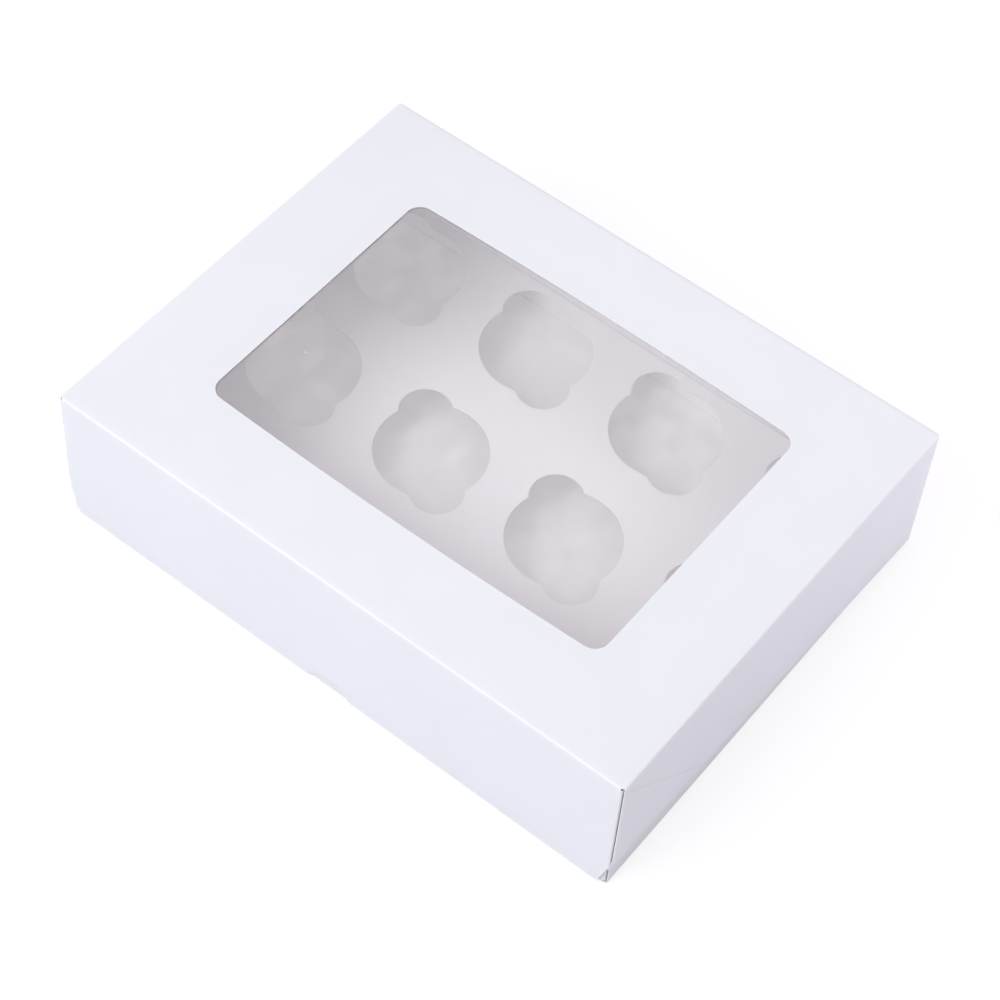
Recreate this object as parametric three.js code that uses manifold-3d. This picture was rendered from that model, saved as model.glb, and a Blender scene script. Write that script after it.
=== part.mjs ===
// A white card bakery box for twelve cupcakes: a tray, a windowed lid that swings on the back edge,
// a clear film behind the window and a raised sheet of holes that holds the cakes upright.
// Millimetres. +X is the long side, the front is -Y, the hinge is at +Y and the box stands on z = 0.

import * as THREE from 'three';
import { mergeVertices } from 'three/addons/utils/BufferGeometryUtils.js';
import Module from 'manifold-3d';

// Whole box, closed
const boxLength = 330;
const boxDepth = 252;
const boxHeight = 87;

// Card and its folds
const cardThickness = 0.5;
const foldRadius = 1.0;
const foldSteps = 5;

// Clearances between the nested walls
const lidSideFit = 0.5;
const lidFrontFit = 0.5;
const lidRimLift = 0.5;
const trayRimDrop = 0.8;
const hingeGap = 0.4;
const cornerSlit = 1.2;

// Lid's side wall: its lower edge climbs towards the front, where it leaves the tray's wall bare
const sideWallFrontClearance = 21;
const sideWallBackClearance = 2;

// Lid's front wall: clipped lower corners and a thumb notch
const clipWidth = 4;
const clipHeight = 15;
const notchWidth = 24;
const notchHeight = 8;
const notchSteps = 24;

// Glue tabs that join each pair of walls at a corner
const lidTabLength = 22;
const trayTabLength = 20;
const tabTaper = 12;
const tabEndGap = 1.2;

// Window in the lid, a rounded rectangle whose long sides are slightly bowed
const windowLength = 229.5;
const windowDepth = 156.5;
const windowBow = 1.8;
const windowCornerRadius = 8;
const windowShiftY = 0.5;
const windowSteps = 16;

// Film glued behind the window
const filmThickness = 0.2;
const filmLap = 12;

// Raised sheet for the cakes
const insertHeight = 20.5;
const insertSideFit = 1.3;
const insertEndFit = 1.6;
const holeColumns = 4;
const holeRows = 3;
const holeRadius = 29.3;
const holeMarginX = 8.15;
const holeMarginY = 9.1;
const holeShiftX = -0.8;
const holeShiftY = 2.1;
const earRadius = 13.9;
const earOffset = 25;
const earAngle = THREE.MathUtils.degToRad(135);
const holeSteps = 22;
const earSteps = 10;

// How far a cutter reaches past what it cuts
const overcut = 5;

const wasm = await Module();
wasm.setup();

// Which world axes the drawing's first and second directions and the extrusion's depth follow
const planes = {
  xy: [[1, 0, 0], [0, 1, 0], [0, 0, 1]],
  xz: [[1, 0, 0], [0, 0, 1], [0, -1, 0]],
  yz: [[0, 1, 0], [0, 0, 1], [1, 0, 0]],
};

// Turns a flat outline into a solid between two stations of the axis square to its plane
function extrude(shape, plane, from, to, curveSegments = foldSteps) {
  const geometry = new THREE.ExtrudeGeometry(shape, { depth: to - from, bevelEnabled: false, curveSegments });
  const axes = planes[plane].map((axis) => new THREE.Vector3(...axis));
  const start = plane === 'xz' ? -to : from;
  geometry.translate(0, 0, start);
  geometry.applyMatrix4(new THREE.Matrix4().makeBasis(...axes));
  return solid(geometry);
}

// A closed three.js geometry as a solid that can be joined and cut
function solid(geometry) {
  const bare = geometry.clone();
  bare.deleteAttribute('normal');
  bare.deleteAttribute('uv');
  const merged = mergeVertices(bare, 1e-5);
  return new wasm.Manifold(new wasm.Mesh({
    numProp: 3,
    vertProperties: new Float32Array(merged.attributes.position.array),
    triVerts: new Uint32Array(merged.index.array),
  }));
}

// A finished solid as a named mesh
function part(name, body, material) {
  const { vertProperties, triVerts } = body.getMesh();
  const geometry = new THREE.BufferGeometry();
  geometry.setAttribute('position', new THREE.BufferAttribute(new Float32Array(vertProperties), 3));
  geometry.setIndex(new THREE.BufferAttribute(new Uint32Array(triVerts), 1));
  geometry.computeVertexNormals();
  const mesh = new THREE.Mesh(geometry, material);
  mesh.name = name;
  return mesh;
}

const join = (...bodies) => bodies.reduce((whole, body) => whole.add(body));
const cut = (body, ...cutters) => cutters.reduce((rest, cutter) => rest.subtract(cutter), body);
const bothSides = (body) => join(body, body.mirror([1, 0, 0]));

function polygon(points) {
  return new THREE.Shape(points.map(([u, v]) => new THREE.Vector2(u, v)));
}

// Section of a sheet folded into a U: a web from left to right, whose outer face is at height web, and a
// leg at each end that reaches to legEnd, above the web or below it
function channel(left, right, web, legEnd) {
  const up = Math.sign(legEnd - web);
  const inner = foldRadius - cardThickness;
  const centre = web + up * foldRadius;
  const shape = new THREE.Shape();
  const webAngle = (-up * Math.PI) / 2;
  shape.moveTo(left, legEnd);
  shape.lineTo(left, centre);
  shape.absarc(left + foldRadius, centre, foldRadius, Math.PI, webAngle, up < 0);
  shape.lineTo(right - foldRadius, web);
  shape.absarc(right - foldRadius, centre, foldRadius, webAngle, 0, up < 0);
  shape.lineTo(right, legEnd);
  shape.lineTo(right - cardThickness, legEnd);
  shape.lineTo(right - cardThickness, centre);
  shape.absarc(right - foldRadius, centre, inner, 0, webAngle, up > 0);
  shape.lineTo(left + foldRadius, web + up * cardThickness);
  shape.absarc(left + foldRadius, centre, inner, webAngle, Math.PI, up > 0);
  shape.lineTo(left + cardThickness, legEnd);
  shape.closePath();
  return shape;
}

// Takes the corners off a pair of glue tabs that run along Y from a fold at foldY
function taperTabs(tabs, foldY, tipY, bottom, top) {
  const reach = Math.sign(tipY - foldY) * overcut;
  const lower = polygon([[foldY, bottom], [tipY, bottom + tabTaper], [tipY + reach, bottom + tabTaper],
    [tipY + reach, bottom - overcut], [foldY, bottom - overcut]]);
  const upper = polygon([[foldY, top], [tipY, top - tabTaper], [tipY + reach, top - tabTaper],
    [tipY + reach, top + overcut], [foldY, top + overcut]]);
  const cutters = [lower, upper].map((outline) => extrude(outline, 'yz', -boxLength, boxLength));
  return cut(tabs, ...cutters);
}

// Places worked out from the sizes above
const outerX = boxLength / 2;
const frontY = -boxDepth / 2;
const backY = boxDepth / 2;
const lidUnderside = boxHeight - cardThickness;
const lidTabX = outerX - cardThickness;
const trayX = lidTabX - cardThickness - lidSideFit;
const trayFrontY = frontY + cardThickness + lidFrontFit;
const trayRim = lidUnderside - trayRimDrop;
const trayTabX = trayX - cardThickness;
const lidPanelBackY = backY - hingeGap;
const insertHalfX = trayTabX - cardThickness - insertSideFit;
const insertFrontY = trayFrontY + cardThickness + insertEndFit;
const insertBackY = backY - cardThickness - insertEndFit;
const insertTop = cardThickness + insertHeight;

// Closed outline of the window
function windowOutline(grow = 0) {
  const x = windowLength / 2 + grow;
  const y = windowDepth / 2 + grow;
  const bow = grow ? 0 : 2 * windowBow;
  const r = windowCornerRadius;
  const shape = new THREE.Shape();
  shape.moveTo(-x + r, windowShiftY - y);
  shape.quadraticCurveTo(0, windowShiftY - y - bow, x - r, windowShiftY - y);
  shape.absarc(x - r, windowShiftY - y + r, r, -Math.PI / 2, 0, false);
  shape.lineTo(x, windowShiftY + y - r);
  shape.absarc(x - r, windowShiftY + y - r, r, 0, Math.PI / 2, false);
  shape.quadraticCurveTo(0, windowShiftY + y + bow, -x + r, windowShiftY + y);
  shape.absarc(-x + r, windowShiftY + y - r, r, Math.PI / 2, Math.PI, false);
  shape.lineTo(-x, windowShiftY - y + r);
  shape.absarc(-x + r, windowShiftY - y + r, r, Math.PI, 1.5 * Math.PI, false);
  shape.closePath();
  return shape;
}

// One cake hole: a round hole with a smaller round ear on each end of one diagonal
function cakeHole(x, y) {
  const along = (holeRadius ** 2 - earRadius ** 2 + earOffset ** 2) / (2 * earOffset);
  const holeHalf = Math.acos(along / holeRadius);
  const earHalf = Math.acos((along - earOffset) / earRadius);
  const arc = (cx, cy, r, from, to, steps) => Array.from({ length: steps }, (_, i) => {
    const angle = from + ((to - from) * i) / steps;
    return new THREE.Vector2(cx + r * Math.cos(angle), cy + r * Math.sin(angle));
  });
  const points = [earAngle, earAngle + Math.PI].flatMap((axis) => [
    ...arc(x + earOffset * Math.cos(axis), y + earOffset * Math.sin(axis), earRadius,
      axis - earHalf, axis + earHalf, earSteps),
    ...arc(x, y, holeRadius, axis + holeHalf, axis + Math.PI - holeHalf, holeSteps),
  ]);
  return new THREE.Shape(points);
}

// Tray: floor with four walls, and tabs on the front and back walls glued inside the side walls
function makeTray() {
  const sideFront = trayFrontY + cornerSlit;
  const sideBack = backY - cornerSlit;
  const flatHalf = trayTabX - foldRadius;
  const sides = extrude(channel(-trayX, trayX, 0, trayRim), 'xz', sideFront, sideBack);
  const ends = extrude(channel(trayFrontY, backY, 0, trayRim), 'yz', -flatHalf, flatHalf);
  const tabLow = foldRadius + tabEndGap;
  const tabHigh = trayRim - tabEndGap;
  const frontTip = trayFrontY + trayTabLength;
  const backTip = backY - trayTabLength;
  const frontTabs = extrude(channel(-trayTabX, trayTabX, trayFrontY, frontTip), 'xy', tabLow, tabHigh);
  const backTabs = extrude(channel(-trayTabX, trayTabX, backY, backTip), 'xy', tabLow, tabHigh);
  return join(
    sides,
    ends,
    taperTabs(frontTabs, trayFrontY + foldRadius, frontTip, tabLow, tabHigh),
    taperTabs(backTabs, backY - foldRadius, backTip, tabLow, tabHigh),
  );
}

// Lid: windowed top, side walls with a climbing lower edge, and a front wall with its tabs behind them
function makeLid() {
  const sideFront = frontY + cornerSlit;
  const flatHalf = lidTabX - foldRadius;
  const sides = extrude(channel(-outerX, outerX, boxHeight, lidRimLift), 'xz', sideFront, lidPanelBackY);
  const lowerEdge = polygon([[sideFront, sideWallFrontClearance], [lidPanelBackY, sideWallBackClearance],
    [lidPanelBackY + overcut, sideWallBackClearance], [lidPanelBackY + overcut, -overcut],
    [sideFront - overcut, -overcut], [sideFront - overcut, sideWallFrontClearance]]);
  const trimmedSides = cut(sides, extrude(lowerEdge, 'yz', -outerX - overcut, outerX + overcut));

  const wall = extrude(frontPanel(), 'yz', -flatHalf, flatHalf);
  const clip = polygon([[flatHalf, clipHeight + lidRimLift], [flatHalf + overcut, clipHeight + lidRimLift],
    [flatHalf + overcut, -overcut], [flatHalf - clipWidth, -overcut], [flatHalf - clipWidth, lidRimLift]]);
  const clips = bothSides(extrude(clip, 'xz', frontY - overcut, frontY + overcut));
  const clippedWall = cut(wall, clips);

  const tabLow = clipHeight + lidRimLift;
  const tabHigh = boxHeight - foldRadius - tabEndGap / 2;
  const tip = frontY + lidTabLength;
  const tabs = extrude(channel(-lidTabX, lidTabX, frontY, tip), 'xy', tabLow, tabHigh);
  const taperedTabs = taperTabs(tabs, frontY + foldRadius, tip, tabLow, tabHigh);

  const opening = extrude(windowOutline(), 'xy', lidUnderside - overcut, boxHeight + overcut, windowSteps);
  return cut(join(trimmedSides, clippedWall, taperedTabs), opening, thumbNotch());
}

// Section of the lid's front wall and of the strip of the top that it hangs from
function frontPanel() {
  const strip = frontY + lidTabLength;
  const centreY = frontY + foldRadius;
  const centreZ = boxHeight - foldRadius;
  const shape = new THREE.Shape();
  shape.moveTo(frontY, lidRimLift);
  shape.lineTo(frontY + cardThickness, lidRimLift);
  shape.lineTo(frontY + cardThickness, centreZ);
  shape.absarc(centreY, centreZ, foldRadius - cardThickness, Math.PI, Math.PI / 2, true);
  shape.lineTo(strip, lidUnderside);
  shape.lineTo(strip, boxHeight);
  shape.lineTo(centreY, boxHeight);
  shape.absarc(centreY, centreZ, foldRadius, Math.PI / 2, Math.PI, false);
  shape.closePath();
  return shape;
}

// Half-moon cutter at the middle of the front wall's lower edge
function thumbNotch() {
  const radius = ((notchWidth / 2) ** 2 + notchHeight ** 2) / (2 * notchHeight);
  const moon = new THREE.Shape();
  moon.absarc(0, lidRimLift + notchHeight - radius, radius, 0, 2 * Math.PI, false);
  return extrude(moon, 'xz', frontY - overcut, frontY + cardThickness + lidFrontFit / 2, notchSteps);
}

// Film: a plain rounded sheet under the lid, wider than the window all round
function makeFilm() {
  return extrude(windowOutline(filmLap), 'xy', lidUnderside - filmThickness, lidUnderside);
}

// Raised sheet: a platform on two folded legs, pierced by a grid of cake holes that is centred between
// its edges and moved by the two shifts
function makeInsert() {
  const section = channel(-insertHalfX, insertHalfX, insertTop, cardThickness);
  const sheet = extrude(section, 'xz', insertFrontY, insertBackY);
  const pitchX = (2 * (insertHalfX - holeMarginX - holeRadius)) / (holeColumns - 1);
  const pitchY = (insertBackY - insertFrontY - 2 * (holeMarginY + holeRadius)) / (holeRows - 1);
  const firstX = holeShiftX - (pitchX * (holeColumns - 1)) / 2;
  const firstY = (insertFrontY + insertBackY) / 2 + holeShiftY - (pitchY * (holeRows - 1)) / 2;
  const holes = [];
  for (let row = 0; row < holeRows; row += 1) {
    for (let column = 0; column < holeColumns; column += 1) {
      const outline = cakeHole(firstX + column * pitchX, firstY + row * pitchY);
      holes.push(extrude(outline, 'xy', insertTop - cardThickness - foldRadius, insertTop + foldRadius));
    }
  }
  return cut(sheet, ...holes);
}

const whiteCard = new THREE.MeshStandardMaterial({ color: 0xf1f2f7, roughness: 0.55, metalness: 0 });
const innerCard = new THREE.MeshStandardMaterial({ color: 0xe6e5ec, roughness: 0.65, metalness: 0 });
const clearFilm = new THREE.MeshStandardMaterial({
  color: 0xf4f6fa, roughness: 0.06, metalness: 0, transparent: true, opacity: 0.15,
});

const box = new THREE.Group();
box.add(part('tray', makeTray(), whiteCard));
box.add(part('cake_insert', makeInsert(), innerCard));
box.add(part('lid', makeLid(), whiteCard.clone()));
box.add(part('window_film', makeFilm(), clearFilm));

export default box;
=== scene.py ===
"""White card cupcake box: the looks of the tray, the windowed lid, the film and the raised insert.

Metres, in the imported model's frame: +X runs along the long side, the front is at -Y, the hinge at +Y and
the box stands on z = 0. Every card piece is a thin sheet with real folds, cut edges and creases.
"""

import logging
import math
from dataclasses import dataclass, field
from enum import Enum
from typing import Callable, List, Optional, Sequence, Tuple

import bmesh
import bpy
from mathutils import Matrix, Vector

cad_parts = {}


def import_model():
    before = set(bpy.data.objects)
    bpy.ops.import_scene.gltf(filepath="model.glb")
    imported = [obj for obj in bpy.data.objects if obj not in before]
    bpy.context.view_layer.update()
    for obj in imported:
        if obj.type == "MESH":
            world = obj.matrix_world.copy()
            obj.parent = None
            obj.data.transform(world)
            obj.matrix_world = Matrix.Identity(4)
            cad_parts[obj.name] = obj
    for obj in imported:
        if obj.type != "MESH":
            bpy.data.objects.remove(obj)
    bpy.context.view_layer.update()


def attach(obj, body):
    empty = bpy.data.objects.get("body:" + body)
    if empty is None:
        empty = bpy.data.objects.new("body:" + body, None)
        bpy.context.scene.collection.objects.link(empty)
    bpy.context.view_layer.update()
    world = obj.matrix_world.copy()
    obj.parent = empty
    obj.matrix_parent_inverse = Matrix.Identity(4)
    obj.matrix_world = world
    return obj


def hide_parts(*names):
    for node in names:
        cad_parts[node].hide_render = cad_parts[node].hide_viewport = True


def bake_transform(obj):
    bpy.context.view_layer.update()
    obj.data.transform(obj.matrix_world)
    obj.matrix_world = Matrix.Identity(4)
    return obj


log = logging.getLogger("cupcake_box")

Colour = Tuple[float, float, float]
Point2 = Tuple[float, float]
Point3 = Tuple[float, float, float]
Place = Callable[[Vector], bool]
MM = 0.001
NEAR = 0.02 * MM


class Side(Enum):
    """The left or the right of the box."""

    LEFT = -1
    RIGHT = 1


class Face(Enum):
    """The material slots of a sheet of card."""

    OUTSIDE = 0
    INSIDE = 1
    CUT_EDGE = 2


def millimetres(*values: float) -> Vector:
    """Turn three lengths in millimetres into a vector in metres.

    Args:
        values: The three lengths.

    Returns:
        The vector in metres.
    """
    return Vector(values) * MM


@dataclass(frozen=True)
class BoxSizes:
    """The sizes that several pieces share, in millimetres."""

    length: float = 330.0
    depth: float = 252.0
    height: float = 87.0
    card: float = 0.5
    fold: float = 1.0
    tray_half: float = 163.5
    tray_front: float = -125.0
    tray_rim: float = 85.7

    @property
    def half(self) -> float:
        """Half the length of the lid."""
        return self.length / 2

    @property
    def front(self) -> float:
        """The front wall's outer face."""
        return -self.depth / 2

    @property
    def back(self) -> float:
        """The back wall's outer face."""
        return self.depth / 2


class NodeBench:
    """Adds and joins the shader nodes of one material."""

    def __init__(self, name: str) -> None:
        """Start an empty material.

        Args:
            name: The material's name.
        """
        self.material = bpy.data.materials.new(name)
        self.material.use_nodes = True
        self.tree = self.material.node_tree
        self.tree.nodes.clear()
        self.output = self.tree.nodes.new("ShaderNodeOutputMaterial")

    def add(self, kind: str, **values: object) -> bpy.types.Node:
        """Add a node and set its properties and inputs.

        Args:
            kind: The node's type without its "ShaderNode" prefix.
            values: Properties by name, and inputs by name with underscores for spaces.

        Returns:
            The new node.
        """
        node = self.tree.nodes.new("ShaderNode" + kind)
        for name, value in values.items():
            if hasattr(node, name):
                setattr(node, name, value)
                continue
            socket = node.inputs[name.replace("_", " ")]
            if isinstance(value, bpy.types.NodeSocket):
                self.tree.links.new(value, socket)
            else:
                socket.default_value = value
        return node

    def math(self, operation: str, *values: object, clamp: bool = False) -> bpy.types.NodeSocket:
        """Add a math node.

        Args:
            operation: The operation's name.
            values: Numbers or sockets for the inputs, in order.
            clamp: True to keep the result between 0 and 1.

        Returns:
            The node's output.
        """
        node = self.tree.nodes.new("ShaderNodeMath")
        node.operation = operation
        node.use_clamp = clamp
        for socket, value in zip(node.inputs, values):
            if isinstance(value, bpy.types.NodeSocket):
                self.tree.links.new(value, socket)
            else:
                socket.default_value = value
        return node.outputs[0]

    def blend(self, share: object, low: object, high: object) -> bpy.types.NodeSocket:
        """Mix two colours.

        Args:
            share: The share of the second colour.
            low: The first colour.
            high: The second colour.

        Returns:
            The mixed colour.
        """
        node = self.tree.nodes.new("ShaderNodeMix")
        node.data_type = "RGBA"
        for index, value in ((0, share), (6, low), (7, high)):
            if isinstance(value, bpy.types.NodeSocket):
                self.tree.links.new(value, node.inputs[index])
            elif index == 0:
                node.inputs[index].default_value = value
            else:
                node.inputs[index].default_value = (*value, 1.0)
        return node.outputs[2]

    def ramp(
            self, value: object, low: float, high: float, start: float = 0.0,
            end: float = 1.0) -> bpy.types.NodeSocket:
        """Spread a value smoothly from one range to another.

        Args:
            value: The value that is spread.
            low: The value that gives start.
            high: The value that gives end.
            start: The result at low.
            end: The result at high.

        Returns:
            The result.
        """
        node = self.tree.nodes.new("ShaderNodeMapRange")
        node.interpolation_type = "SMOOTHSTEP"
        for index, number in ((1, low), (2, high), (3, start), (4, end)):
            node.inputs[index].default_value = number
        self.tree.links.new(value, node.inputs[0])
        return node.outputs[0]

    def mix(
            self, share: object, first: bpy.types.NodeSocket,
            second: bpy.types.NodeSocket) -> bpy.types.NodeSocket:
        """Mix two shaders.

        Args:
            share: The share of the second shader.
            first: The first shader's output.
            second: The second shader's output.

        Returns:
            The mixed shader.
        """
        node = self.tree.nodes.new("ShaderNodeMixShader")
        if isinstance(share, bpy.types.NodeSocket):
            self.tree.links.new(share, node.inputs[0])
        else:
            node.inputs[0].default_value = share
        self.tree.links.new(first, node.inputs[1])
        self.tree.links.new(second, node.inputs[2])
        return node.outputs[0]

    def finish(self, surface: bpy.types.NodeSocket) -> bpy.types.Material:
        """Join a shader to the output.

        Args:
            surface: The shader's output.

        Returns:
            The finished material.
        """
        self.tree.links.new(surface, self.output.inputs["Surface"])
        return self.material


@dataclass(frozen=True)
class CardFinish:
    """One face of the card: its tone, the tone of its faint mottling, and its surface."""

    name: str
    tone: Colour
    shade: Colour
    roughness: float
    mottle: float = 26.0
    fibre: float = 1400.0
    relief: float = 0.012
    glow: float = 0.32
    # Colour of the painted shade in narrow gaps between sheets.
    gap_shade_tone: Colour = (0.10, 0.08, 0.075)
    gap_reach: float = 2.0
    # Colour of the painted highlight along the folds, or None for none.
    fold_highlight_tone: Optional[Colour] = None
    fold_box: Tuple[float, float, float] = (165.0, -126.0, 87.0)

    def material(self) -> bpy.types.Material:
        """Build the card's material.

        Returns:
            The material.
        """
        bench = NodeBench(self.name)
        place = bench.add("TexCoord").outputs["Object"]
        cloud = bench.add("TexNoise", Vector=place, Scale=self.mottle, Detail=3.0, Roughness=0.55)
        fibre = bench.add("TexNoise", Vector=place, Scale=self.fibre, Detail=2.0, Roughness=0.6)
        patches = bench.ramp(cloud.outputs["Fac"], 0.3, 0.7)
        specks = bench.ramp(fibre.outputs["Fac"], 0.25, 0.75)
        share = bench.math(
            "ADD", bench.math("MULTIPLY", patches, 0.6), bench.math("MULTIPLY", specks, 0.4))
        colour = bench.blend(share, self.shade, self.tone)
        # Painted highlight: the card is made paler near the box's folds, where the rounded folds catch the
        # light.
        if self.fold_highlight_tone:
            colour = bench.blend(self.fold_highlight_share(bench, place), colour, self.fold_highlight_tone)
        # Painted shade: narrow gaps between sheets are painted dark where ambient occlusion finds them
        # closed. Inside the card itself nothing is.
        open_share = bench.add("AmbientOcclusion", samples=2, Distance=self.gap_reach * MM)
        open_share = bench.math(
            "MAXIMUM", open_share.outputs["AO"], bench.add("NewGeometry").outputs["Backfacing"])
        colour = bench.blend(bench.ramp(open_share, 0.12, 0.5), self.gap_shade_tone, colour)
        bump = bench.add("Bump", Strength=0.35, Distance=self.relief * MM, Height=fibre.outputs["Fac"])
        gloss = bench.ramp(cloud.outputs["Fac"], 0.3, 0.7, self.roughness - 0.04, self.roughness + 0.04)
        shader = bench.add(
            "BsdfPrincipled", Base_Color=colour, Roughness=gloss, Normal=bump.outputs["Normal"], IOR=1.45)
        through = bench.add("BsdfTranslucent", Color=colour).outputs["BSDF"]
        return bench.finish(bench.mix(self.glow, shader.outputs["BSDF"], through))

    def fold_highlight_share(self, bench: NodeBench, place: bpy.types.NodeSocket) -> bpy.types.NodeSocket:
        """Find how close a point is to one of the box's folds, for the painted highlight that the rounded
        folds catch.

        Args:
            bench: The material's nodes.
            place: The point's place on the object.

        Returns:
            1 on a fold, falling to 0 a few millimetres away.
        """
        half, front, top = (number * MM for number in self.fold_box)
        split = bench.add("SeparateXYZ", Vector=place).outputs
        side = bench.math("SUBTRACT", half, bench.math("ABSOLUTE", split["X"]))
        face = bench.math("SUBTRACT", split["Y"], front)
        drop = bench.math("SUBTRACT", top, split["Z"])
        nearer = bench.math("MINIMUM", side, face)
        further = bench.math("MAXIMUM", side, face)
        second = bench.math("MAXIMUM", nearer, bench.math("MINIMUM", further, drop))
        return bench.ramp(second, 0.4 * MM, 4.5 * MM, 0.3, 0.0)


@dataclass(frozen=True)
class FilmFinish:
    """Clear glossy film: its haze, a painted reflection that thickens the haze towards the window's back
    left, and the dust on it.
    """

    name: str = "clear_film"
    haze: float = 0.06
    tint: Colour = (0.93, 0.93, 0.97)

    def material(self) -> bpy.types.Material:
        """Build the film's material.

        Returns:
            The material.
        """
        bench = NodeBench(self.name)
        place = bench.add("TexCoord").outputs["Object"]
        wave = bench.add("TexNoise", Vector=place, Scale=14.0, Detail=2.0, Roughness=0.5)
        dust = bench.add("TexVoronoi", Vector=place, Scale=55.0, feature="F1")
        speck = bench.ramp(dust.outputs["Distance"], 0.018, 0.03, 0.5, 0.0)
        split = bench.add("SeparateXYZ", Vector=place).outputs
        # Painted reflection: the haze grows to two and a half times its level towards the window's back
        # left, for the studio light reflected there.
        across = bench.math("MULTIPLY_ADD", split["X"], -0.45, bench.math("MULTIPLY", split["Y"], 0.8))
        haze_and_painted_sheen = bench.ramp(across, -0.12, 0.07, self.haze, self.haze * 2.5)
        haze_and_painted_sheen = bench.math("MULTIPLY", haze_and_painted_sheen, bench.ramp(wave.outputs["Fac"], 0.3, 0.7, 0.85, 1.15))
        haze = bench.math("ADD", haze_and_painted_sheen, speck, clamp=True)
        bump = bench.add("Bump", Strength=0.2, Distance=0.2 * MM, Height=wave.outputs["Fac"])
        bump = bump.outputs["Normal"]
        # Haze and gloss lie where a ray enters, so that none is turned back inside the film.
        entry = bench.math("SUBTRACT", 1.0, bench.add("NewGeometry").outputs["Backfacing"])
        mirror = bench.add("Fresnel", IOR=1.5, Normal=bump).outputs["Fac"]
        mirror = bench.math("MULTIPLY", bench.math("MULTIPLY", mirror, 1.8, clamp=True), entry)
        haze = bench.math("MULTIPLY", haze, entry)
        clear = bench.add("BsdfTransparent", Color=(1.0, 1.0, 1.0, 1.0)).outputs["BSDF"]
        dust_haze_and_sheen = bench.add("BsdfDiffuse", Color=(*self.tint, 1.0)).outputs["BSDF"]
        gloss = bench.add("BsdfGlossy", Color=(1.0, 1.0, 1.0, 1.0), Roughness=0.06, Normal=bump)
        return bench.finish(bench.mix(mirror, bench.mix(haze, clear, dust_haze_and_sheen), gloss.outputs["BSDF"]))


@dataclass(frozen=True)
class FloorFinish:
    """A plain white floor: it lights the box from below, as a white table does, and keeps its shadow."""

    name: str = "white_floor"
    tone: Colour = (0.81, 0.80, 0.85)
    shadow_share: float = 0.3

    def material(self) -> bpy.types.Material:
        """Build the floor's material.

        Returns:
            The material.
        """
        bench = NodeBench(self.name)
        seen = bench.add("LightPath").outputs
        direct = bench.math("MAXIMUM", seen["Is Camera Ray"], seen["Is Glossy Ray"])
        direct = bench.math("MAXIMUM", direct, seen["Is Transmission Ray"])
        matt = bench.add("BsdfDiffuse", Color=(*self.tone, 1.0)).outputs["BSDF"]
        pale = bench.add("BsdfDiffuse", Color=(1.0, 1.0, 1.0, 1.0)).outputs["BSDF"]
        white = bench.add("Emission", Color=(1.0, 1.0, 1.0, 1.0), Strength=1.0).outputs["Emission"]
        return bench.finish(bench.mix(direct, matt, bench.mix(self.shadow_share, white, pale)))


@dataclass(frozen=True)
class CardStock:
    """The three faces of one kind of card."""

    outside: CardFinish
    inside: CardFinish
    cut_edge: CardFinish

    def dress(self, sheet: bpy.types.Object) -> None:
        """Give a sheet the card's materials, in the order of Face.

        Args:
            sheet: The sheet.
        """
        sheet.data.materials.clear()
        for finish in (self.outside, self.inside, self.cut_edge):
            known = bpy.data.materials.get(finish.name)
            sheet.data.materials.append(known or finish.material())


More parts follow.
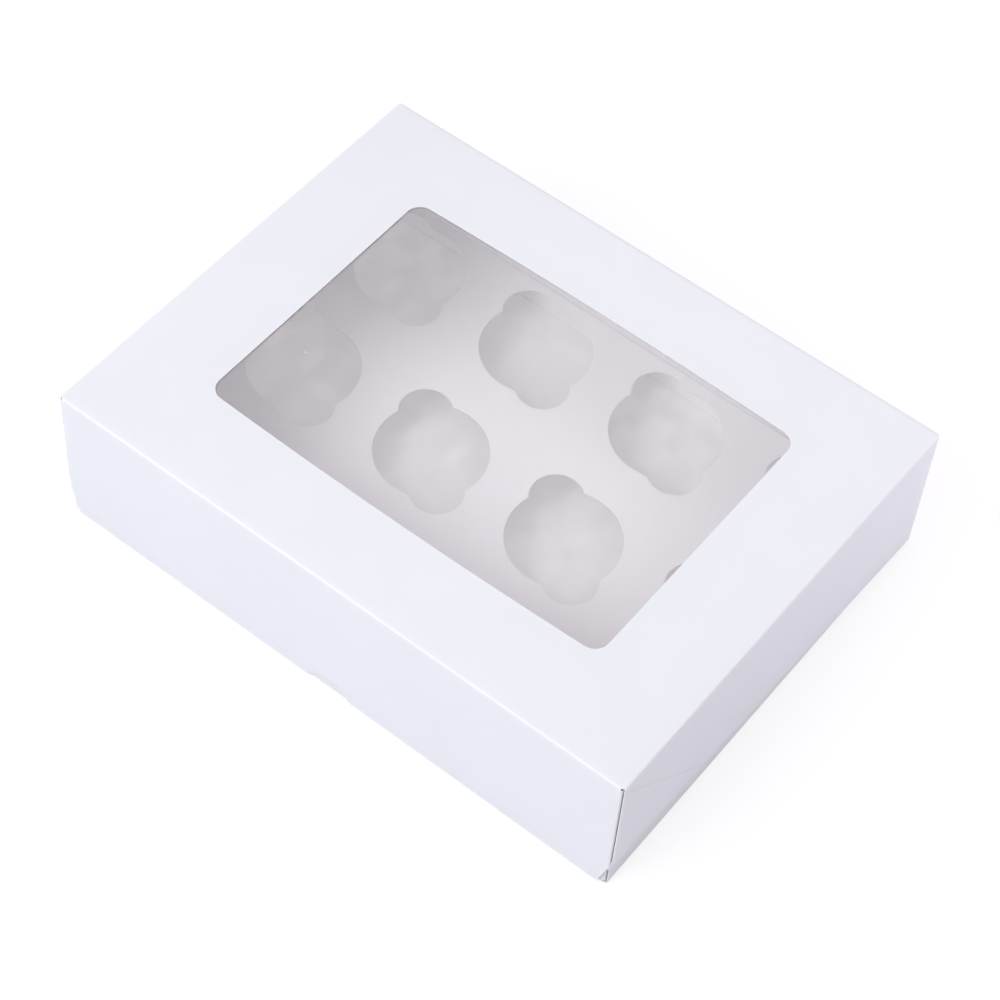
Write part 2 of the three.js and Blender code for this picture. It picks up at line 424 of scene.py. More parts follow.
class Sheet:
    """A flat sheet that is cut, folded and bowed on the bench, and then given its thickness."""

    def __init__(self, name: str, low: Point2, high: Point2, level: float, cell: float) -> None:
        """Lay down a flat grid and go into edit mode.

        Args:
            name: The piece's name.
            low: The grid's lowest corner, in millimetres.
            high: The grid's highest corner, in millimetres.
            level: The grid's height, in millimetres.
            cell: About the size of one cell, in millimetres.
        """
        let_go()
        width, depth = high[0] - low[0], high[1] - low[1]
        bpy.ops.mesh.primitive_grid_add(
            x_subdivisions=max(1, round(width / cell)), y_subdivisions=max(1, round(depth / cell)),
            size=1.0, location=millimetres((low[0] + high[0]) / 2, (low[1] + high[1]) / 2, level))
        self.body = bpy.context.object
        self.body.name = self.body.data.name = name
        self.body.scale = (width * MM, depth * MM, 1.0)
        bpy.ops.object.transform_apply(location=True, rotation=True, scale=True)
        bpy.ops.object.mode_set(mode="EDIT")

    def pick(self, place: Place, rim: bool = True) -> int:
        """Select the edges that lie wholly at a place, and nothing else.

        Args:
            place: True for a point that is at the place, in metres.
            rim: True for the sheet's rim only.

        Returns:
            How many edges were selected.
        """
        bpy.ops.mesh.select_mode(type="EDGE")
        bpy.ops.mesh.select_all(action="DESELECT")
        mesh = bmesh.from_edit_mesh(self.body.data)
        chosen = [
            e for e in mesh.edges if (e.is_boundary or not rim) and all(place(v.co) for v in e.verts)]
        for edge in chosen:
            edge.select_set(True)
        mesh.select_flush_mode()
        bmesh.update_edit_mesh(self.body.data)
        return len(chosen)

    def pick_faces(self, place: Place) -> int:
        """Select the faces whose corners all lie at a place.

        Args:
            place: True for a point that is at the place, in metres.

        Returns:
            How many faces were selected.
        """
        bpy.ops.mesh.select_mode(type="FACE")
        bpy.ops.mesh.select_all(action="DESELECT")
        mesh = bmesh.from_edit_mesh(self.body.data)
        chosen = [f for f in mesh.faces if all(place(v.co) for v in f.verts)]
        for face in chosen:
            face.select_set(True)
        bmesh.update_edit_mesh(self.body.data)
        return len(chosen)

    def draw_out(self, place: Optional[Place], *steps: Point3) -> None:
        """Draw the rim at a place out into new faces.

        Args:
            place: Where the rim is, or None for what is selected.
            steps: How far each new row goes, in millimetres.
        """
        if place is not None and not self.pick(place):
            raise ValueError(f"{self.body.name}: no rim to draw out")
        for step in steps:
            bpy.ops.mesh.extrude_edges_move(TRANSFORM_OT_translate={"value": millimetres(*step)})

    def fold(self, place: Place, centre: Point3, axis: Point3, angle: float, steps: int = 5) -> None:
        """Turn the rim at a place round a fold.

        Args:
            place: Where the rim is.
            centre: The fold's middle, in millimetres.
            axis: The fold's axis.
            angle: How far it turns, in degrees.
            steps: How many faces go round it.
        """
        # The operator turns the other way round its axis, so the angle's sign is changed.
        if not self.pick(place):
            raise ValueError(f"{self.body.name}: no rim to fold")
        bpy.ops.mesh.spin(
            steps=steps, dupli=False, angle=-math.radians(angle), center=millimetres(*centre),
            axis=axis)

    def trim(self, place: Place, point: Point3, outward: Point3) -> None:
        """Cut the faces at a place along a plane and throw the outer side away.

        Args:
            place: Where the faces are.
            point: A point of the plane, in millimetres.
            outward: The plane's normal, towards what is thrown away.
        """
        self.pick_faces(place)
        bpy.ops.mesh.bisect(
            plane_co=millimetres(*point), plane_no=Vector(outward).normalized(), clear_outer=True,
            clear_inner=False, threshold=0.001 * MM)

    def squeeze(self, factors: Point3, centre: Point3) -> None:
        """Scale what is selected about a point.

        Args:
            factors: The scale along each axis.
            centre: The point, in millimetres.
        """
        bpy.ops.transform.resize(value=factors, center_override=millimetres(*centre))

    def bow(self, move: Callable[[Vector], Vector]) -> None:
        """Shift every vertex by a smooth rule.

        Args:
            move: Gives a point's shift, in metres.
        """
        mesh = bmesh.from_edit_mesh(self.body.data)
        for vertex in mesh.verts:
            vertex.co += move(vertex.co)
        bmesh.update_edit_mesh(self.body.data)

    def leave(self, upward: bool) -> bpy.types.Object:
        """Merge doubles, turn the faces the right way and leave edit mode.

        Args:
            upward: True if the flat panel's outer side faces up.

        Returns:
            The sheet's object.
        """
        bpy.ops.mesh.select_all(action="SELECT")
        bpy.ops.mesh.remove_doubles(threshold=0.005 * MM)
        bpy.ops.mesh.normals_make_consistent(inside=False)
        mesh = bmesh.from_edit_mesh(self.body.data)
        mesh.faces.ensure_lookup_table()
        flat = max(mesh.faces, key=lambda f: abs(f.normal.z) * f.calc_area())
        if (flat.normal.z > 0) != upward:
            bpy.ops.mesh.flip_normals()
        bpy.ops.object.mode_set(mode="OBJECT")
        return self.body


def let_go() -> None:
    """Deselect everything, so that an operator acts on the next piece alone."""
    if bpy.context.object and bpy.context.object.mode != "OBJECT":
        bpy.ops.object.mode_set(mode="OBJECT")
    bpy.ops.object.select_all(action="DESELECT")


def take(piece: bpy.types.Object) -> None:
    """Select one piece alone and make it active.

    Args:
        piece: The piece.
    """
    let_go()
    piece.select_set(True)
    bpy.context.view_layer.objects.active = piece


def thicken(piece: bpy.types.Object, thickness: float) -> None:
    """Give a sheet its thickness on the inner side, with the inside and cut edge in their own materials.

    Args:
        piece: The sheet.
        thickness: How thick it is, in millimetres.
    """
    take(piece)
    modifier = piece.modifiers.new("card", "SOLIDIFY")
    modifier.thickness = thickness * MM
    modifier.offset = -1.0
    modifier.use_even_offset = True
    modifier.use_quality_normals = True
    modifier.material_offset = Face.INSIDE.value
    modifier.material_offset_rim = Face.CUT_EDGE.value
    bpy.ops.object.modifier_apply(modifier=modifier.name)


def cut_away(piece: bpy.types.Object, cutter: bpy.types.Object) -> None:
    """Cut a solid out of a piece and delete the solid.

    Args:
        piece: The piece that is cut.
        cutter: The solid.
    """
    cutter.data.materials.clear()
    for material in piece.data.materials:
        cutter.data.materials.append(material)
    for polygon in cutter.data.polygons:
        polygon.material_index = min(Face.CUT_EDGE.value, max(0, len(piece.data.materials) - 1))
    take(piece)
    modifier = piece.modifiers.new("cut", "BOOLEAN")
    modifier.operation = "DIFFERENCE"
    modifier.solver = "EXACT"
    modifier.object = cutter
    bpy.ops.object.modifier_apply(modifier=modifier.name)
    bpy.data.objects.remove(cutter, do_unlink=True)


def join_copies(first: bpy.types.Object, places: Sequence[Vector]) -> bpy.types.Object:
    """Copy a solid to each place and join the copies into one object.

    Args:
        first: The solid, made round the origin.
        places: Where each copy goes, in metres.

    Returns:
        The joined object.
    """
    copies = []
    for place in places:
        copy = first.copy()
        copy.data = first.data.copy()
        copy.data.transform(Matrix.Translation(place))
        bpy.context.collection.objects.link(copy)
        copies.append(copy)
    bpy.data.objects.remove(first, do_unlink=True)
    let_go()
    for copy in copies:
        copy.select_set(True)
    bpy.context.view_layer.objects.active = copies[0]
    bpy.ops.object.join()
    return bpy.context.object


def soften(piece: bpy.types.Object, angle: float = 24.0) -> None:
    """Shade a piece smooth across its folds and bows, but not across its cut edges.

    Args:
        piece: The piece.
        angle: The sharpest angle that is shaded smooth, in degrees.
    """
    take(piece)
    bpy.ops.object.shade_smooth_by_angle(angle=math.radians(angle), keep_sharp_edges=True)


def round_cutter(radius: float, low: float, high: float, steps: int = 96) -> bpy.types.Object:
    """Make an upright round cutter at the origin.

    Args:
        radius: Its radius, in millimetres.
        low: Its lower end, in millimetres.
        high: Its upper end, in millimetres.
        steps: How many faces go round it.

    Returns:
        The cutter.
    """
    let_go()
    bpy.ops.mesh.primitive_cylinder_add(
        vertices=steps, radius=radius * MM, depth=(high - low) * MM,
        location=millimetres(0, 0, (low + high) / 2))
    bpy.ops.object.transform_apply(location=True, rotation=True, scale=True)
    return bpy.context.object


def hump(value: float, half: float, middle: float = 0.0) -> float:
    """A smooth hill from 0 at both ends of a span to 1 at its middle.

    Args:
        value: The place on the span.
        half: Half the span.
        middle: The span's middle.

    Returns:
        The hill's height there.
    """
    share = max(-1.0, min(1.0, (value - middle) / half))
    return 0.5 * (1.0 + math.cos(math.pi * share))


@dataclass
class Lid:
    """The windowed top with its front wall, side walls and glue tabs, folded from one sheet."""

    sizes: BoxSizes
    stock: CardStock
    cell: float = 6.0
    tab_reach: float = 22.0
    tab_gap: float = 0.6
    corner_gap: float = 1.0
    side_front_rise: float = 21.0
    side_back_rise: float = 2.0
    front_rise: float = 0.5
    clip_width: float = 4.0
    clip_height: float = 15.0
    tab_taper: float = 12.0
    notch_width: float = 24.0
    notch_height: float = 8.0
    window_length: float = 229.5
    window_depth: float = 156.5
    window_bow: float = 1.8
    window_corner: float = 8.0
    window_shift: float = 0.5
    sag: float = 0.35
    side_bow: float = 0.25
    front_bow: float = 0.2
    tab_lean: float = 0.2
    wall_band: float = 0.6
    crease_top: Point2 = (-124.4, 83.6)
    crease_foot: Point2 = (-52.4, 13.8)
    nick_step: float = 2.1
    nick_length: float = 0.6
    nick_width: float = 0.34
    panel: Optional[bpy.types.Object] = field(default=None, repr=False)

    def build(self) -> "Lid":
        """Fold the sheet, trim its side walls and bow its panels.

        Returns:
            The lid itself.
        """
        box = self.sizes
        bend, half, front, top = box.fold, box.half, box.front, box.height
        flat, crown = half - bend, top - bend
        sheet = Sheet("lid_card", (-flat, front + bend), (flat, box.back - bend), top, self.cell)
        self.panel = sheet.body
        for side in Side:
            sheet.fold(
                lambda p, s=side: p.x * s.value > flat * MM - NEAR, (side.value * flat, 0, crown),
                (0, side.value, 0), 90)
            sheet.draw_out(lambda p, s=side: p.x * s.value > half * MM - NEAR and p.z < crown * MM + NEAR,
                           *[(0, 0, -step) for step in (1, 3, 8, 14, 18, 18, 14, 8)])
            sheet.trim(lambda p, s=side: p.x * s.value > half * MM - NEAR and p.z < crown * MM + NEAR,
                       (0, front + self.corner_gap, self.side_front_rise), self.lower_edge())
        self.fold_front(sheet, flat, crown)
        sheet.bow(self.lean)
        self.panel = sheet.leave(upward=True)
        return self

    def lower_edge(self) -> Point3:
        """Find the direction square to the side wall's climbing lower edge.

        Returns:
            The direction, pointing down.
        """
        run = self.sizes.depth - self.corner_gap - self.sizes.fold
        fall = self.side_front_rise - self.side_back_rise
        return (0.0, -fall, -run)

    def fold_front(self, sheet: Sheet, flat: float, crown: float) -> None:
        """Fold the front wall down and its two glue tabs back behind the side walls.

        Args:
            sheet: The sheet on the bench.
            flat: Half the length of the top's flat part.
            crown: The height of the folds' middles.
        """
        box = self.sizes
        front, bend = box.front, box.fold
        tab_x = box.half - box.card - self.tab_gap + self.tab_lean
        wall_half = tab_x - bend
        sheet.fold(lambda p: p.y < (front + bend) * MM + NEAR and p.z > box.height * MM - NEAR,
                   (0, front + bend, crown), (1, 0, 0), 90)
        tab_low, tab_high = self.clip_height + self.front_rise, crown - 0.6
        # The rows are lower near the folds and the tabs' ends, and higher between them.
        levels = [crown - tab_high, 4, 10, 14, 14, 14, 9]
        levels.append(tab_high - sum(levels[1:]) - tab_low)
        levels += [4, 5, tab_low - 9 - self.front_rise]
        sheet.draw_out(lambda p: p.y < front * MM + NEAR and p.z < crown * MM + NEAR,
                       *[(0, 0, -step) for step in levels])
        mesh = bmesh.from_edit_mesh(sheet.body.data)
        for vertex in mesh.verts:
            at_end = abs(vertex.co.x) > flat * MM - NEAR and vertex.co.z < box.height * MM - NEAR
            if vertex.co.y < (front + self.wall_band) * MM and at_end:
                vertex.co.x = math.copysign(wall_half * MM, vertex.co.x)
        bmesh.update_edit_mesh(sheet.body.data)
        for side in Side:
            sign = side.value
            sheet.fold(
                lambda p, s=sign: p.x * s > wall_half * MM - NEAR and p.y < front * MM + NEAR
                and tab_low * MM - NEAR < p.z < tab_high * MM + NEAR,
                (sign * wall_half, front + bend, 0), (0, 0, sign), 90)
            sheet.draw_out(
                lambda p, s=sign: abs(p.x * s - tab_x * MM) < NEAR
                and abs(p.y - (front + bend) * MM) < NEAR,
                (sign * 0.1, 5, 0), (sign * 0.15, 8, 0), (sign * 0.1, self.tab_reach - 14, 0))
            height = tab_high - tab_low
            taper = (height - 2 * self.tab_taper) / height
            sheet.squeeze((1, 1, taper), (0, 0, (tab_low + tab_high) / 2))
            sheet.trim(
                lambda p: p.y < front * MM + NEAR, (sign * wall_half, front, tab_low),
                (sign * (tab_low - self.front_rise), 0, -self.clip_width))

    def lean(self, point: Vector) -> Vector:
        """Give the panels the slight bow that folded card has.

        Args:
            point: A point of the sheet, in metres.

        Returns:
            The point's shift, in metres.
        """
        box = self.sizes
        along = hump(point.x, box.half * MM) * hump(point.y, box.depth / 2 * MM)
        if point.z > (box.height - 0.05) * MM:
            return Vector((0, 0, -self.sag * along * MM))
        fall = (box.height * MM - point.z) / (box.height * MM)
        grown = math.sin(math.pi * min(1.0, fall * 1.2) / 2)
        if abs(point.x) > (box.half - 0.05) * MM:
            inward = self.side_bow * hump(point.y, box.depth / 2 * MM) * grown
            return Vector((-math.copysign(inward * MM, point.x), 0, 0))
        if point.y < (box.front + 0.05) * MM:
            inward = self.front_bow * hump(point.x, box.half * MM) * grown
            return Vector((0, inward * MM, 0))
        return Vector((0, 0, 0))

    def dress(self) -> "Lid":
        """Thicken the sheet, cut the window and the notch, and give the card its finish.

        Returns:
            The lid itself.
        """
        self.stock.dress(self.panel)
        thicken(self.panel, self.sizes.card)
        cut_away(self.panel, self.window_cutter())
        cut_away(self.panel, self.notch_cutter())
        cut_away(self.panel, self.nick_cutter())
        soften(self.panel)
        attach(self.panel, "lid")
        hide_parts("lid")
        return self

    def window_cutter(self) -> bpy.types.Object:
        """Make the window's cutter: a rounded rectangle whose long sides bow outwards.

        Returns:
            The cutter.
        """
        let_go()
        bpy.ops.mesh.primitive_plane_add(
            size=1.0, location=millimetres(0, self.window_shift, self.sizes.height - 4))
        cutter = bpy.context.object
        cutter.scale = (self.window_length * MM, self.window_depth * MM, 1.0)
        bpy.ops.object.transform_apply(location=True, rotation=True, scale=True)
        bpy.ops.object.mode_set(mode="EDIT")
        bpy.ops.mesh.select_all(action="SELECT")
        bpy.ops.mesh.bevel(offset=self.window_corner * MM, segments=12, affect="VERTICES")
        bpy.ops.mesh.select_mode(type="EDGE")
        bpy.ops.mesh.select_all(action="DESELECT")
        mesh = bmesh.from_edit_mesh(cutter.data)
        for edge in mesh.edges:
            edge.select_set(abs((edge.verts[0].co - edge.verts[1].co).x) > 0.1)
        bmesh.update_edit_mesh(cutter.data)
        bpy.ops.mesh.subdivide(number_cuts=47)
        mesh = bmesh.from_edit_mesh(cutter.data)
        straight = (self.window_length / 2 - self.window_corner) * MM
        for vertex in mesh.verts:
            share = abs(vertex.co.x) / straight
            away = 1.0 if vertex.co.y > self.window_shift * MM else -1.0
            if share < 1.0:
                vertex.co.y += away * self.window_bow * MM * (1.0 - share * share)
        bmesh.update_edit_mesh(cutter.data)
        bpy.ops.mesh.select_all(action="SELECT")
        bpy.ops.mesh.extrude_region_move(TRANSFORM_OT_translate={"value": millimetres(0, 0, 8)})
        bpy.ops.mesh.select_all(action="SELECT")
        bpy.ops.mesh.normals_make_consistent(inside=False)
        bpy.ops.object.mode_set(mode="OBJECT")
        return cutter

    def nick_cutter(self) -> bpy.types.Object:
        """Make the nicks of the slanting creases on which the side walls fold when the box is packed flat.

        Returns:
            The cutter.
        """
        (top_y, top_z), (foot_y, foot_z) = self.crease_top, self.crease_foot
        run, fall = foot_y - top_y, foot_z - top_z
        length = math.hypot(run, fall)
        let_go()
        bpy.ops.mesh.primitive_cube_add(size=1.0, rotation=(math.atan2(fall, run), 0, 0))
        nick = bpy.context.object
        nick.scale = millimetres(3.0, self.nick_length, self.nick_width)
        bpy.ops.object.transform_apply(location=True, rotation=True, scale=True)
        count = int(length / self.nick_step)
        places = [
            millimetres(
                side.value * self.sizes.half, top_y + run * step / count, top_z + fall * step / count)
            for side in Side for step in range(count + 1)
        ]
        return join_copies(nick, places)

    def notch_cutter(self) -> bpy.types.Object:
        """Make the cutter of the thumb notch in the front wall's lower edge.

        Returns:
            The cutter.
        """
        radius = ((self.notch_width / 2) ** 2 + self.notch_height ** 2) / (2 * self.notch_height)
        let_go()
        bpy.ops.mesh.primitive_cylinder_add(
            vertices=128, radius=radius * MM, depth=4 * MM, rotation=(math.pi / 2, 0, 0),
            location=millimetres(0, self.sizes.front, self.front_rise + self.notch_height - radius))
        bpy.ops.object.transform_apply(location=True, rotation=True, scale=True)
        return bpy.context.object


@dataclass
class Tray:
    """The floor with its four walls, and the glue tabs that hold the corners."""

    sizes: BoxSizes
    stock: CardStock
    cell: float = 8.0
    tab_reach: float = 20.0
    tab_taper: float = 12.0
    tab_gap: float = 0.6
    tab_lean: float = 0.2
    wall_band: float = 0.6
    panel: Optional[bpy.types.Object] = field(default=None, repr=False)

    def build(self) -> "Tray":
        """Fold the walls up from the floor and the tabs in behind the side walls.

        Returns:
            The tray itself.
        """
        box = self.sizes
        bend, half, front, back, rim = box.fold, box.tray_half, box.tray_front, box.back, box.tray_rim
        flat = half - bend
        sheet = Sheet("tray_card", (-flat, front + bend), (flat, back - bend), 0, self.cell)
        tab_low, tab_high = bend + 1.2, rim - 1.2
        rows = [tab_low - bend, 4, 10, 14, 14, 14, 10]
        rows.append(tab_high - tab_low - sum(rows[1:]))
        rows.append(rim - tab_high)
        rises = [(0, 0, row) for row in rows]
        for side in Side:
            sign = side.value
            sheet.fold(
                lambda p, s=sign: p.x * s > flat * MM - NEAR, (sign * flat, 0, bend), (0, -sign, 0), 90)
            sheet.draw_out(lambda p, s=sign: p.x * s > half * MM - NEAR and p.z > bend * MM - NEAR, *rises)
        tab_x = half - box.card - self.tab_gap + self.tab_lean
        wall_half = tab_x - bend
        for wall, turn in ((front, 1), (back, -1)):
            fold_y = wall + turn * bend
            sheet.fold(lambda p, f=fold_y, t=turn: (p.y - f * MM) * t < NEAR and p.z < NEAR,
                       (0, fold_y, bend), (-turn, 0, 0), 90)
            sheet.draw_out(lambda p, w=wall: abs(p.y - w * MM) < NEAR and p.z > bend * MM - NEAR, *rises)
            mesh = bmesh.from_edit_mesh(sheet.body.data)
            for vertex in mesh.verts:
                at_end = flat * MM - NEAR < abs(vertex.co.x) < (flat + 0.1) * MM
                if abs(vertex.co.y - wall * MM) < self.wall_band * MM and at_end and vertex.co.z > NEAR:
                    vertex.co.x = math.copysign(wall_half * MM, vertex.co.x)
            bmesh.update_edit_mesh(sheet.body.data)
            for side in Side:
                sign = side.value
                sheet.fold(
                    lambda p, s=sign, w=wall: abs(p.x * s - wall_half * MM) < NEAR
                    and abs(p.y - w * MM) < NEAR and tab_low * MM - NEAR < p.z < tab_high * MM + NEAR,
                    (sign * wall_half, fold_y, 0), (0, 0, sign * turn), 90)
                sheet.draw_out(
                    lambda p, s=sign, f=fold_y: abs(p.x * s - tab_x * MM) < NEAR
                    and abs(p.y - f * MM) < NEAR,
                    (sign * 0.1, turn * 5, 0), (sign * 0.15, turn * 7, 0),
                    (sign * 0.1, turn * (self.tab_reach - 13), 0))
                height = tab_high - tab_low
                taper = (height - 2 * self.tab_taper) / height
                sheet.squeeze((1, 1, taper), (0, 0, (tab_low + tab_high) / 2))
        self.panel = sheet.leave(upward=False)
        return self

    def dress(self) -> "Tray":
        """Thicken the sheet and give the card its finish.

        Returns:
            The tray itself.
        """
        self.stock.dress(self.panel)
        thicken(self.panel, self.sizes.card)
        soften(self.panel)
        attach(self.panel, "base")
        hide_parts("tray")
        return self


@dataclass
class CakeInsert:
    """The raised sheet that holds the cakes: a platform on two folded legs, with twelve eared holes."""

    sizes: BoxSizes
    stock: CardStock
    cell: float = 5.0
    half: float = 161.2
    front: float = -122.9
    back: float = 123.9
    top: float = 21.0
    foot: float = 0.52
    columns: int = 4
    rows: int = 3
    pitch_x: float = 82.5
    pitch_y: float = 85.0
    shift_x: float = -0.8
    shift_y: float = 2.6
    hole_radius: float = 29.3
    ear_radius: float = 13.9
    ear_offset: float = 25.0
    ear_angle: float = 135.0
    panel: Optional[bpy.types.Object] = field(default=None, repr=False)

    def build(self) -> "CakeInsert":
        """Fold the legs down from the platform.

        Returns:
            The insert itself.
        """
        bend = self.sizes.fold
        flat, crown = self.half - bend, self.top - bend
        sheet = Sheet("insert_card", (-flat, self.front), (flat, self.back), self.top, self.cell)
        for side in Side:
            sign = side.value
            sheet.fold(
                lambda p, s=sign: p.x * s > flat * MM - NEAR, (sign * flat, 0, crown), (0, sign, 0), 90)
            sheet.draw_out(lambda p, s=sign: p.x * s > self.half * MM - NEAR and p.z < crown * MM + NEAR,
                           (0, 0, -7), (0, 0, -7), (0, 0, -(crown - self.foot - 14)))
        sheet.bow(self.lean)
        self.panel = sheet.leave(upward=True)
        return self

    def lean(self, point: Vector) -> Vector:
        """Let the platform sag a little between its legs.

        Args:
            point: A point of the sheet, in metres.

        Returns:
            The point's shift, in metres.
        """
        if point.z < (self.top - 0.05) * MM:
            return Vector((0, 0, 0))
        wave = 0.18 * math.sin(point.x * 31.0 + 0.6) * math.sin(point.y * 24.0 + 1.1)
        edge = hump(point.x, self.half * MM)
        return Vector((0, 0, (-0.35 + wave) * edge * MM))

    def places(self) -> List[Vector]:
        """Find the middle of each cake hole.

        Returns:
            The middles, in metres.
        """
        return [
            millimetres(self.shift_x + (column - (self.columns - 1) / 2) * self.pitch_x,
                        self.shift_y + (row - (self.rows - 1) / 2) * self.pitch_y, 0)
            for row in range(self.rows) for column in range(self.columns)
        ]

    def dress(self) -> "CakeInsert":
        """Thicken the sheet, cut the holes and give the card its finish.

        Returns:
            The insert itself.
        """
        self.stock.dress(self.panel)
        thicken(self.panel, self.sizes.card)
        low, high = self.top - 3, self.top + 3
        middles = self.places()
        cut_away(self.panel, join_copies(round_cutter(self.hole_radius, low, high, 120), middles))
        for turn in (0.0, 180.0):
            angle = math.radians(self.ear_angle + turn)
            reach = Vector((math.cos(angle), math.sin(angle), 0)) * self.ear_offset * MM
            ear = round_cutter(self.ear_radius, low, high, 72)
            cut_away(self.panel, join_copies(ear, [middle + reach for middle in middles]))
        soften(self.panel)
        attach(self.panel, "base")
        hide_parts("cake_insert")
        return self


@dataclass
class WindowFilm:
    """The clear film glued behind the window, not quite flat."""

    finish: FilmFinish
    half: float = 126.75
    front: float = -89.75
    back: float = 90.75
    top: float = 86.1
    thickness: float = 0.15
    panel: Optional[bpy.types.Object] = field(default=None, repr=False)

    def build(self) -> "WindowFilm":
        """Lay the film down and let it ripple.

        Returns:
            The film itself.
        """
        sheet = Sheet("film_sheet", (-self.half, self.front), (self.half, self.back), self.top, 4.0)
        sheet.bow(self.ripple)
        self.panel = sheet.leave(upward=True)
        return self

    def ripple(self, point: Vector) -> Vector:
        """Find how far the film departs from flat.

        Args:
            point: A point of the film, in metres.

        Returns:
            The point's shift, in metres.
        """
        inside = hump(point.x, self.half * MM) * hump(point.y, 90 * MM, 0.5 * MM)
        wave = 0.12 * math.sin(point.x * 38 + point.y * 21)
        wave += 0.1 * math.sin(point.x * 17 - point.y * 44 + 1.3)
        return Vector((0, 0, (wave - 0.25) * inside ** 0.5 * MM))

    def dress(self) -> "WindowFilm":
        """Thicken the film and give it its finish.

        Returns:
            The film itself.
        """
        self.panel.data.materials.append(self.finish.material())
        thicken(self.panel, self.thickness)
        soften(self.panel, 40.0)
        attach(self.panel, "lid")
        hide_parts("window_film")
        return self


@dataclass
class HingeFold:
    """The fold along the back top edge, on which the lid swings."""

    sizes: BoxSizes
    stock: CardStock
    panel: Optional[bpy.types.Object] = field(default=None, repr=False)

    def build(self) -> "HingeFold":
        """Fold a narrow strip from the back wall's rim over to the lid.

        Returns:
            The fold itself.
        """
        box = self.sizes
        flat, rim, crown = box.half - box.fold, box.tray_rim, box.height - box.fold
        sheet = Sheet("hinge_fold", (-flat, box.back - 0.3), (flat, box.back), rim, 6.0)
        bpy.ops.mesh.select_all(action="SELECT")
        bpy.ops.mesh.delete(type="ONLY_FACE")
        sheet.pick(lambda p: p.y > box.back * MM - NEAR, rim=False)
        sheet.draw_out(None, (0, 0, crown - rim))
        sheet.fold(lambda p: p.z > crown * MM - NEAR, (0, box.back - box.fold, crown), (1, 0, 0), 90, 8)
        bpy.ops.mesh.select_all(action="SELECT")
        bpy.ops.mesh.delete_loose(use_verts=True, use_edges=True, use_faces=False)
        self.panel = sheet.leave(upward=True)
        return self

    def dress(self) -> "HingeFold":
        """Thicken the strip and give it its finish.

        Returns:
            The fold itself.
        """
        box = self.sizes
        self.stock.dress(self.panel)
        thicken(self.panel, box.card)
        soften(self.panel)
        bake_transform(self.panel)
        return self


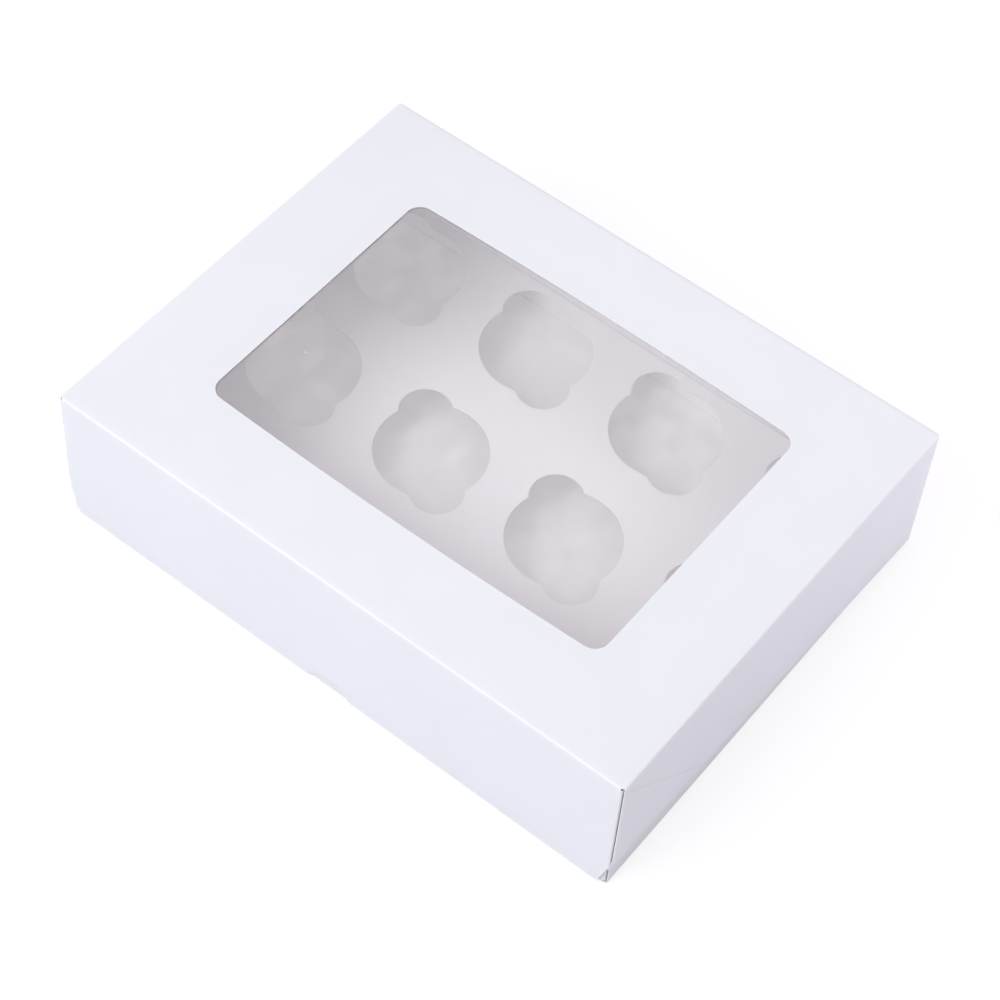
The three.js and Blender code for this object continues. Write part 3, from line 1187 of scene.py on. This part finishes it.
@dataclass
class Studio:
    """The pale floor, the soft light and the camera."""

    floor: FloorFinish
    sky_from: float = 0.2
    sky_to: float = 0.9
    sky_low: float = 0.40
    sky_high: float = 1.0
    lens: float = 100.39
    eye: Point3 = (448.5, -666.1, 1122.8)
    aim: Point3 = (-2.0, 2.0, 43.5)
    roll: float = 5.127
    shift: Point2 = (0.0035, -0.0340)

    def build(self) -> "Studio":
        """Lay the floor and set the world, the lamps and the camera.

        Returns:
            The studio itself.
        """
        let_go()
        bpy.ops.mesh.primitive_grid_add(x_subdivisions=8, y_subdivisions=8, size=12.0)
        ground = bpy.context.object
        ground.name = ground.data.name = "floor"
        ground.data.materials.append(self.floor.material())
        self.set_world()
        self.add_lamp("key_light", 41.5, 1.8, (-0.74, -1.77, 1.68), (0.0, 0.0, 0.05), (0.96, 1.0, 1.0))
        self.add_lamp("fill_light", 0.85, 0.3, (0.42, 0.42, 0.13), (0.16, 0.10, 0.04), (1.0, 0.95, 1.03))
        self.set_camera()
        view = bpy.context.scene.view_settings
        view.view_transform = "Standard"
        return self

    def set_world(self) -> None:
        """Make the world plain white to be seen, and a level light, stronger from above, to the object."""
        world = bpy.data.worlds.new("studio")
        bpy.context.scene.world = world
        world.use_nodes = True
        tree = world.node_tree
        tree.nodes.clear()
        seen = tree.nodes.new("ShaderNodeLightPath")
        light = tree.nodes.new("ShaderNodeBackground")
        light.inputs["Color"].default_value = (1.03, 0.975, 1.03, 1.0)
        split = tree.nodes.new("ShaderNodeSeparateXYZ")
        tree.links.new(tree.nodes.new("ShaderNodeTexCoord").outputs["Generated"], split.inputs[0])
        height = tree.nodes.new("ShaderNodeMapRange")
        height.interpolation_type = "SMOOTHSTEP"
        ends = (self.sky_from, self.sky_to, self.sky_low, self.sky_high)
        for index, number in enumerate(ends, 1):
            height.inputs[index].default_value = number
        tree.links.new(split.outputs["Z"], height.inputs[0])
        tree.links.new(height.outputs[0], light.inputs["Strength"])
        white = tree.nodes.new("ShaderNodeBackground")
        white.inputs["Color"].default_value = (1.0, 1.0, 1.0, 1.0)
        mix = tree.nodes.new("ShaderNodeMixShader")
        out = tree.nodes.new("ShaderNodeOutputWorld")
        shown = seen.outputs["Is Camera Ray"]
        for ray in ("Is Glossy Ray", "Is Transmission Ray"):
            either = tree.nodes.new("ShaderNodeMath")
            either.operation = "MAXIMUM"
            tree.links.new(shown, either.inputs[0])
            tree.links.new(seen.outputs[ray], either.inputs[1])
            shown = either.outputs[0]
        tree.links.new(shown, mix.inputs[0])
        tree.links.new(light.outputs[0], mix.inputs[1])
        tree.links.new(white.outputs[0], mix.inputs[2])
        tree.links.new(mix.outputs[0], out.inputs["Surface"])

    def add_lamp(
            self, name: str, power: float, size: float, place: Point3, aim: Point3,
            colour: Colour) -> None:
        """Add a soft square lamp that isn't seen itself.

        Args:
            name: The lamp's name.
            power: Its power, in watts.
            size: Its width, in metres.
            place: Where it stands, in metres.
            aim: The point that it faces, in metres.
            colour: Its colour.
        """
        lamp = bpy.data.lights.new(name, "AREA")
        lamp.energy = power
        lamp.size = size
        lamp.color = colour
        holder = bpy.data.objects.new(name, lamp)
        holder.visible_camera = False
        holder.location = place
        holder.rotation_mode = "QUATERNION"
        holder.rotation_quaternion = (Vector(aim) - Vector(place)).to_track_quat("-Z", "Y")
        bpy.context.scene.collection.objects.link(holder)

    def set_camera(self) -> None:
        """Set the camera at the angle from which the box is seen."""
        data = bpy.data.cameras.new("camera")
        data.lens = self.lens
        data.sensor_width = 36.0
        data.shift_x, data.shift_y = self.shift
        data.clip_start, data.clip_end = 0.01, 50.0
        camera = bpy.data.objects.new("camera", data)
        camera.rotation_mode = "QUATERNION"
        camera.location = millimetres(*self.eye)
        look = (millimetres(*self.aim) - camera.location).to_track_quat("-Z", "Y")
        turn = Matrix.Rotation(math.radians(self.roll), 3, "Z").to_quaternion()
        camera.rotation_quaternion = look @ turn
        bpy.context.scene.collection.objects.link(camera)
        bpy.context.scene.camera = camera


def main() -> None:
    """Build every piece in order and report each one."""
    logging.basicConfig(level=logging.INFO, format="%(name)s: %(message)s")
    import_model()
    sizes = BoxSizes()
    # The lid's card carries the painted highlight along its folds.
    coated = CardFinish("coated_card", (0.892, 0.92, 0.955), (0.879, 0.907, 0.942), 0.5,
                        fold_highlight_tone=(0.915, 0.935, 0.965))
    bare = CardFinish("bare_card", (0.95, 0.90, 0.895), (0.93, 0.88, 0.875), 0.8, relief=0.03)
    edge = CardFinish("cut_edge", (0.86, 0.85, 0.85), (0.80, 0.79, 0.78), 0.85, relief=0.04)
    stock = CardStock(coated, bare, edge)
    # Painted shade: the tray's outside is a greyer copy of the lid's card, for the shade on the tray wall
    # below the lid's edge.
    shaded_tray_face = CardFinish("shaded_tray_face", (0.855, 0.875, 0.895), (0.84, 0.86, 0.88), 0.5)
    tray_floor = CardFinish("tray_inside", (0.905, 0.88, 0.89), (0.89, 0.865, 0.875), 0.8, relief=0.03)
    tray_stock = CardStock(shaded_tray_face, tray_floor, edge)
    # Painted light: the insert's face is a lighter copy of the white card, for the light that reaches it
    # through the window.
    lit_insert_face = CardFinish("lit_insert_face", (0.975, 0.975, 0.998), (0.96, 0.96, 0.985), 0.55)
    insert_stock = CardStock(lit_insert_face, bare, edge)
    Studio(FloorFinish()).build()
    for part in (Tray(sizes, tray_stock), CakeInsert(sizes, insert_stock), Lid(sizes, stock),
                 WindowFilm(FilmFinish()), HingeFold(sizes, stock)):
        part.build().dress()
        count = len(part.panel.data.polygons)
        log.info("%s: %s, %d faces", type(part).__name__, part.panel.name, count)


if __name__ == "__main__":
    main()
